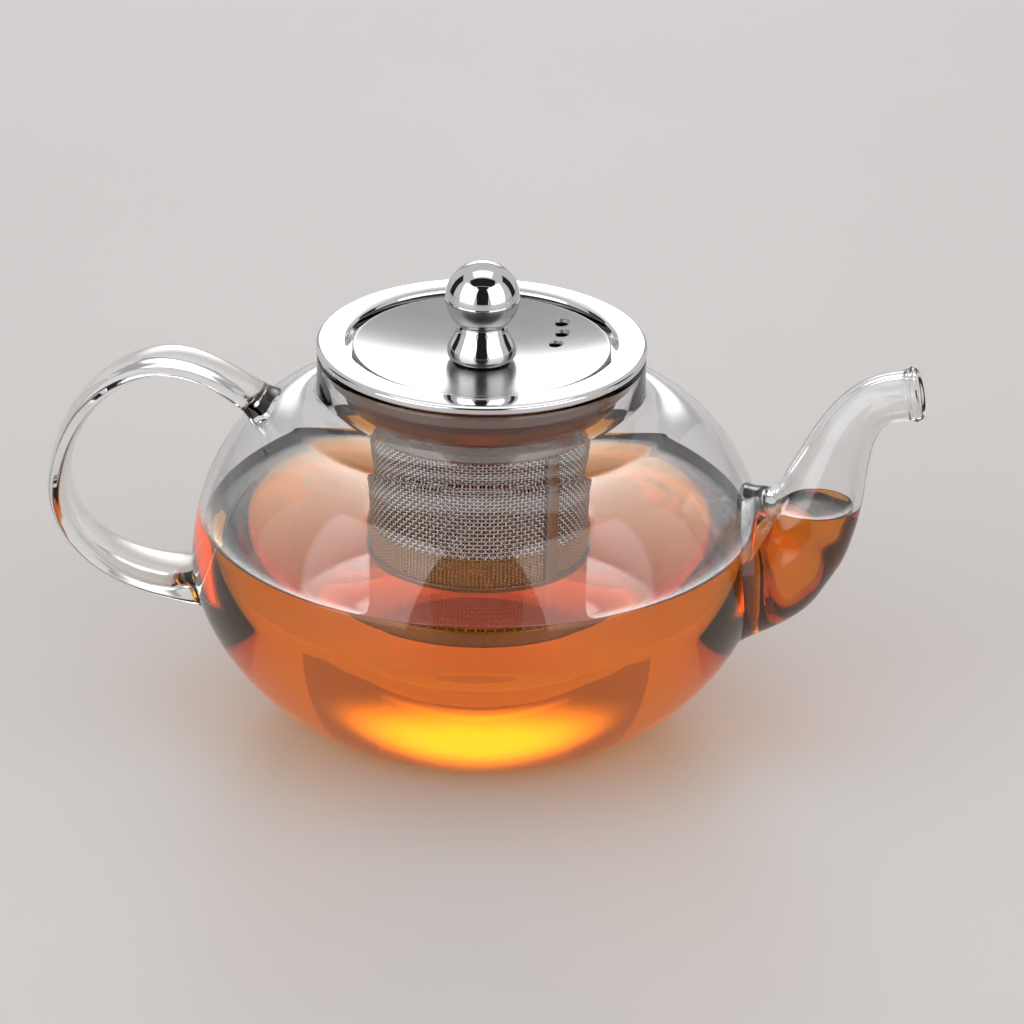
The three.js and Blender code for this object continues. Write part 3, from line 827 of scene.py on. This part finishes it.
rr = np.linspace(0, 30.3, 64)
top = [(r, dish(r)) for r in rr]
edge = rounded([(30.5, dish(30.5), 0), (31.4, dish(31.3), 0.42), (31.4, 94.2, 0.4), (30.3, 94.2, 0.3), (30.0, dish(29.9) - 0.8, 0)], False, 8)
under = [(r, dish(r) - 0.8) for r in rr[::-1] if r < 29.8]
disc = lathe("lid_disc_dished", top + edge + under, 256)
for i, (x, y) in enumerate(((17.1, 19.4), (17.8, 14.2), (16.9, 8.9))):
    # punched holes with a rolled lip on the show side
    zt = dish(math.hypot(x, y))
    drill = lathe(f"drill{i}", rounded([(0, zt + 2), (2.1, zt + 2), (2.0, zt + 0.12, 0.3), (1.5, zt - 0.25, 0.3), (1.5, zt - 3), (0, zt - 3)], False), 48)
    drill.data.transform(Matrix.Translation((x * MM, y * MM, 0)))
    boolean(disc, drill, "DIFFERENCE")
hole = lathe("hole", [(0, 88), (2.3, 88), (2.3, 96), (0, 96)], 64)
boolean(disc, hole, "DIFFERENCE")
finish_shading(disc, True, 32)
steel_piece(disc, M_DISC, "lid", "mirror_steel", "lid_disc")

foot_o = lathe("knob_foot_waisted", [(2.3, 92.25), (6.2, 92.3)] + bez((6.2, 92.3), (7.9, 92.4), (8.45, 93.5), (8.4, 94.9), 14, False)
               + bez((8.4, 94.9), (8.3, 96.6), (6.5, 98.5), (6.1, 100.6), 18, False)
               + [(6.02, 101.1), (5.85, 108.4 - math.sqrt(9.16 ** 2 - 5.85 ** 2)), (3.6, 108.4 - math.sqrt(9.2 ** 2 - 3.6 ** 2)), (2.3, 108.4 - math.sqrt(9.2 ** 2 - 2.3 ** 2))], 192, 40)
steel_piece(foot_o, M_KNOB, "lid", "mirror_steel", "knob_foot")

a0 = math.asin(2.3 / 9.1)
ballp = [(0, 106.3), (1.9, 106.25), (2.3, 105.9), (2.3, 108.4 - 9.1 * math.cos(a0) + 0.1)] + [(9.1 * math.sin(a), 108.4 - 9.1 * math.cos(a)) for a in np.linspace(a0, math.pi, 110)]
ballp[-1] = (0, 117.5)
ball = lathe("knob_ball_polished", ballp, 224, 40)
steel_piece(ball, M_KNOB, "lid", "mirror_steel", "knob_ball")

washer = lathe("knob_washer_flat", rounded([(2.35, 90.2, 0.1), (4.6, 90.2, 0.15), (4.6, 90.95, 0.25), (2.35, 90.95, 0.1)]), 96)
steel_piece(washer, M_SCREW, "lid", "satin_steel", "knob_washer")

# pan-head screw with a cross recess and a rolled thread
sprof = [(0, 87.6), (1.6, 87.62)] + bez((1.6, 87.62), (3.0, 87.7), (3.65, 88.5), (3.7, 89.5), 10, False) + [(3.6, 89.85), (3.3, 89.9), (2.0, 89.9)]
z = 91.4
sprof += [(1.98, z - 0.2)]
while z < 104.8:
    sprof += [(1.95, z), (1.62, z + 0.35)]
    z += 0.7
sprof += [(1.9, 105.2), (1.4, 105.8), (0, 105.8)]
screw = lathe("knob_screw_panhead", sprof, 96, 30)
for k in range(2):
    w = [(-2.1, -0.32, 87.0), (2.1, -0.32, 87.0), (2.1, 0.32, 87.0), (-2.1, 0.32, 87.0), (-0.9, -0.25, 89.2), (0.9, -0.25, 89.2), (0.9, 0.25, 89.2), (-0.9, 0.25, 89.2)]
    c, s = math.cos(k * math.pi / 2), math.sin(k * math.pi / 2)
    w = [(x * c - y * s, x * s + y * c, q) for x, y, q in w]
    slot_cut = obj(f"cut{k}", w, [(0, 3, 2, 1), (4, 5, 6, 7), (0, 1, 5, 4), (1, 2, 6, 5), (2, 3, 7, 6), (3, 0, 4, 7)])
    boolean(screw, slot_cut, "DIFFERENCE")
finish_shading(screw, True, 30)
steel_piece(screw, M_SCREW, "lid", "satin_steel", "knob_screw")

# ------------------------------------------------------------------ floor, world and lamps
m, nt, p, out = new_mat("floor_pale")
tc = node(nt, "ShaderNodeTexCoord")
n1 = node(nt, "ShaderNodeTexNoise", Scale=5.0, Detail=5.0)
nt.links.new(tc.outputs["Object"], n1.inputs["Vector"])
cr = node(nt, "ShaderNodeValToRGB")
cr.color_ramp.elements[0].color = (0.54, 0.53, 0.525, 1)
cr.color_ramp.elements[1].color = (0.60, 0.59, 0.585, 1)
nt.links.new(n1.outputs["Fac"], cr.inputs[0])
nt.links.new(cr.outputs[0], p.inputs["Base Color"])
p.inputs["Roughness"].default_value = 0.55
floor = obj("floor", [(3200 * math.cos(a), 3200 * math.sin(a), -0.15) for a in np.linspace(0, 2 * math.pi, 96, endpoint=False)], [list(range(96))], False)
floor.data.materials.append(m)

world = bpy.data.worlds.new("world")
bpy.context.scene.world = world
world.use_nodes = True
wn = world.node_tree
bg = wn.nodes["Background"]
bg.inputs["Color"].default_value = (0.50, 0.485, 0.48, 1)
bg.inputs["Strength"].default_value = 1.3


def aim(o, az, el, dist):
    """Put o out from the pot and face it; az is measured round from the camera's own side, positive to the right."""
    a, e = math.radians(az) + AZ, math.radians(el)
    v = Vector((math.sin(a) * math.cos(e), -math.cos(a) * math.cos(e), math.sin(e)))
    o.location = Vector((0, 0, 0.07)) + v * dist
    o.rotation_mode = "QUATERNION"
    o.rotation_quaternion = (-v).to_track_quat("-Z", "Y")
    o.visible_camera = False
    return o


def softbox(name, az, el, dist, w, h, power, shape="RECTANGLE", color=(1, 1, 1)):
    d = bpy.data.lights.new(name, "AREA")
    d.shape = shape
    d.size, d.size_y = w, h
    d.energy = power
    d.color = color
    o = bpy.data.objects.new(name, d)
    coll.objects.link(o)
    return aim(o, az, el, dist)


m, nt, p, out = new_mat("flag_black")
n1 = node(nt, "ShaderNodeTexNoise", Scale=30.0, Detail=3.0)
cr = node(nt, "ShaderNodeValToRGB")
cr.color_ramp.elements[0].color = (0.008, 0.008, 0.009, 1)
cr.color_ramp.elements[1].color = (0.016, 0.015, 0.015, 1)
nt.links.new(n1.outputs["Fac"], cr.inputs[0])
nt.links.new(cr.outputs[0], p.inputs["Base Color"])
p.inputs["Roughness"].default_value = 0.9
M_FLAG = m


def flag(name, az, el, dist, w, h):
    """Black card, seen only in reflections: it gives polished steel and clear glass their dark lines."""
    w, h = w * 500, h * 500
    o = obj(name, [(-w, -h, 0), (w, -h, 0), (w, h, 0), (-w, h, 0)], [(0, 1, 2, 3)], False)
    o.data.materials.append(M_FLAG)
    o.visible_shadow = False
    o.visible_diffuse = False
    o.visible_transmission = False
    return aim(o, az, el, dist)


softbox("softbox_left", -50, 24, 1.5, 1.4, 1.5, 10)
softbox("softbox_right", 50, 24, 1.5, 1.4, 1.5, 7.5)
# diffusion screen behind the pot: brightest in the middle and dying away to its edges
m, nt, p, out = new_mat("screen_glow")
nt.nodes.remove(p)
tc = node(nt, "ShaderNodeTexCoord")
mp = node(nt, "ShaderNodeMapping")
mp.inputs["Scale"].default_value = (1 / 0.78, 1 / 0.43, 1)
nt.links.new(tc.outputs["Object"], mp.inputs["Vector"])
ln = node(nt, "ShaderNodeVectorMath", operation="LENGTH")
nt.links.new(mp.outputs[0], ln.inputs[0])
mr = node(nt, "ShaderNodeMapRange", interpolation_type="SMOOTHERSTEP")
mr.inputs["From Min"].default_value = 0.12
mr.inputs["From Max"].default_value = 1.0
mr.inputs["To Min"].default_value = 5.0
mr.inputs["To Max"].default_value = 0.35
nt.links.new(ln.outputs["Value"], mr.inputs["Value"])
em = node(nt, "ShaderNodeEmission")
nt.links.new(mr.outputs[0], em.inputs["Strength"])
nt.links.new(em.outputs[0], out.inputs["Surface"])
screen = obj("screen_back", [(-780, -430, 0), (780, -430, 0), (780, 430, 0), (-780, 430, 0)], [(0, 1, 2, 3)], False)
screen.data.materials.append(m)
aim(screen, 180, 16, 1.8)
softbox("softbox_top", 180, 80, 1.5, 1.3, 0.7, 2)
flag("flag_front", 0, 24, 2.6, 1.7, 3.2)
flag("flag_high", 0, 70, 1.9, 2.6, 0.9)
flag("flag_left", -112, 10, 1.3, 0.5, 1.5)
flag("flag_right", 112, 10, 1.3, 0.5, 1.5)
